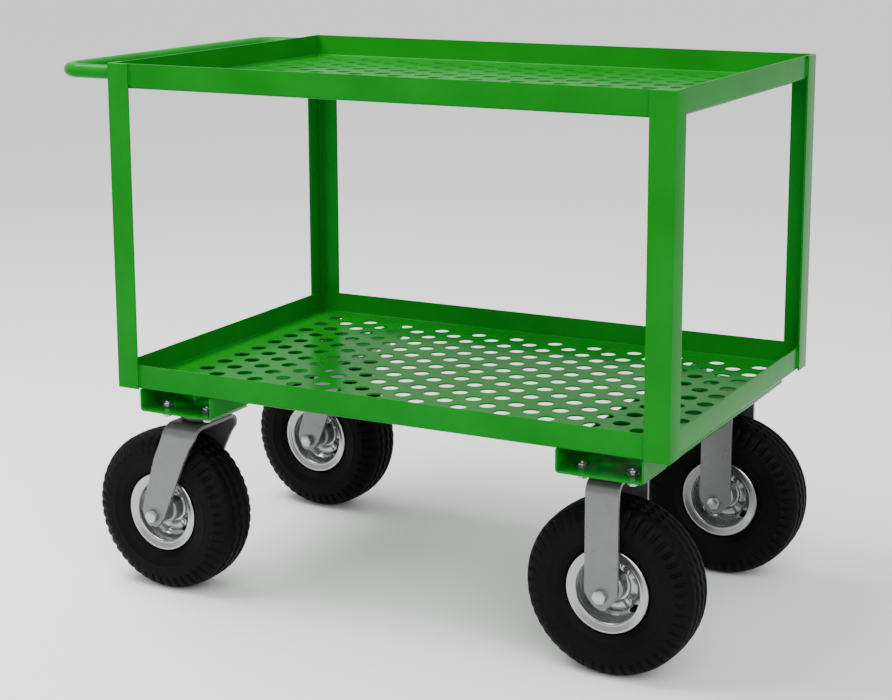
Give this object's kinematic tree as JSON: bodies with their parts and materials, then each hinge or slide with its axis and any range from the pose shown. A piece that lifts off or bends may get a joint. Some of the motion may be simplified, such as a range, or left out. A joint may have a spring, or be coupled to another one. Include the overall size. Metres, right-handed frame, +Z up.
{
  "type": "garden cart",
  "caption": "Flat-deck garden cart with two lipped perforated decks on angle posts, a tubular push handle and pneumatic casters, swivel at the handle end.",
  "frame": {"origin": "on the floor, under the middle of the whole cart's bounding box", "axes": "+X away from the push handle, +Y to the left when pushing, +Z up"},
  "size_m": [1.0602, 0.616, 0.848],
  "materials": {
    "green_powder_coat": "gloss powder coat",
    "zinc_plate": "satin zinc plate",
    "bright_rim": "bright zinc plate on pressed steel",
    "hub_steel": "turned steel, lightly oiled",
    "tyre_rubber": "matt black rubber",
    "valve_rubber": "black rubber"
  },
  "bodies": {
    "frame": {"post_rear_right": "green_powder_coat", "post_rear_left": "green_powder_coat", "post_front_right": "green_powder_coat", "post_front_left": "green_powder_coat", "upper_deck": "green_powder_coat", "lower_deck": "green_powder_coat", "push_handle": "green_powder_coat", "rear_caster_channel": "green_powder_coat", "front_caster_channel": "green_powder_coat", "rear_right_top_plate": "zinc_plate", "rear_right_kingpin": "zinc_plate", "rear_right_bolt_1": "zinc_plate", "rear_right_bolt_2": "zinc_plate", "rear_right_bolt_3": "zinc_plate", "rear_right_bolt_4": "zinc_plate", "rear_left_top_plate": "zinc_plate", "rear_left_kingpin": "zinc_plate", "rear_left_bolt_1": "zinc_plate", "rear_left_bolt_2": "zinc_plate", "rear_left_bolt_3": "zinc_plate", "rear_left_bolt_4": "zinc_plate", "front_right_fork": "zinc_plate", "front_right_axle": "zinc_plate", "front_right_bolt_1": "zinc_plate", "front_right_bolt_2": "zinc_plate", "front_right_bolt_3": "zinc_plate", "front_right_bolt_4": "zinc_plate", "front_left_fork": "zinc_plate", "front_left_axle": "zinc_plate", "front_left_bolt_1": "zinc_plate", "front_left_bolt_2": "zinc_plate", "front_left_bolt_3": "zinc_plate", "front_left_bolt_4": "zinc_plate"},
    "rear_right_swivel": {"rear_right_ball_race": "zinc_plate", "rear_right_fork": "zinc_plate", "rear_right_axle": "zinc_plate"},
    "rear_right_wheel": {"rear_right_tyre": "tyre_rubber", "rear_right_rim_outboard": "bright_rim", "rear_right_rim_inboard": "bright_rim", "rear_right_hub": "hub_steel", "rear_right_valve_stem": "valve_rubber"},
    "rear_left_swivel": {"rear_left_ball_race": "zinc_plate", "rear_left_fork": "zinc_plate", "rear_left_axle": "zinc_plate"},
    "rear_left_wheel": {"rear_left_tyre": "tyre_rubber", "rear_left_rim_outboard": "bright_rim", "rear_left_rim_inboard": "bright_rim", "rear_left_hub": "hub_steel", "rear_left_valve_stem": "valve_rubber"},
    "front_right_wheel": {"front_right_tyre": "tyre_rubber", "front_right_rim_outboard": "bright_rim", "front_right_rim_inboard": "bright_rim", "front_right_hub": "hub_steel", "front_right_valve_stem": "valve_rubber"},
    "front_left_wheel": {"front_left_tyre": "tyre_rubber", "front_left_rim_outboard": "bright_rim", "front_left_rim_inboard": "bright_rim", "front_left_hub": "hub_steel", "front_left_valve_stem": "valve_rubber"}
  },
  "joints": [
    {"name": "rear_right_swivel_turn", "type": "hinge", "parent": "frame", "child": "rear_right_swivel", "pos_m": [-0.31106, -0.23498, 0.29], "axis": [0, 0, 1], "continuous": true},
    {"name": "rear_right_wheel_spin", "type": "hinge", "parent": "rear_right_swivel", "child": "rear_right_wheel", "pos_m": [-0.36803, -0.23299, 0.13], "axis": [0.0349, 0.9994, 0], "continuous": true},
    {"name": "rear_left_swivel_turn", "type": "hinge", "parent": "frame", "child": "rear_left_swivel", "pos_m": [-0.31106, 0.23498, 0.29], "axis": [0, 0, 1], "continuous": true},
    {"name": "rear_left_wheel_spin", "type": "hinge", "parent": "rear_left_swivel", "child": "rear_left_wheel", "pos_m": [-0.36796, 0.23845, 0.13], "axis": [0.061, 0.9981, 0], "continuous": true},
    {"name": "front_right_wheel_spin", "type": "hinge", "parent": "frame", "child": "front_right_wheel", "pos_m": [0.40014, -0.23498, 0.13], "axis": [0, 1, 0], "continuous": true},
    {"name": "front_left_wheel_spin", "type": "hinge", "parent": "frame", "child": "front_left_wheel", "pos_m": [0.40014, 0.23498, 0.13], "axis": [0, 1, 0], "continuous": true}
  ]
}
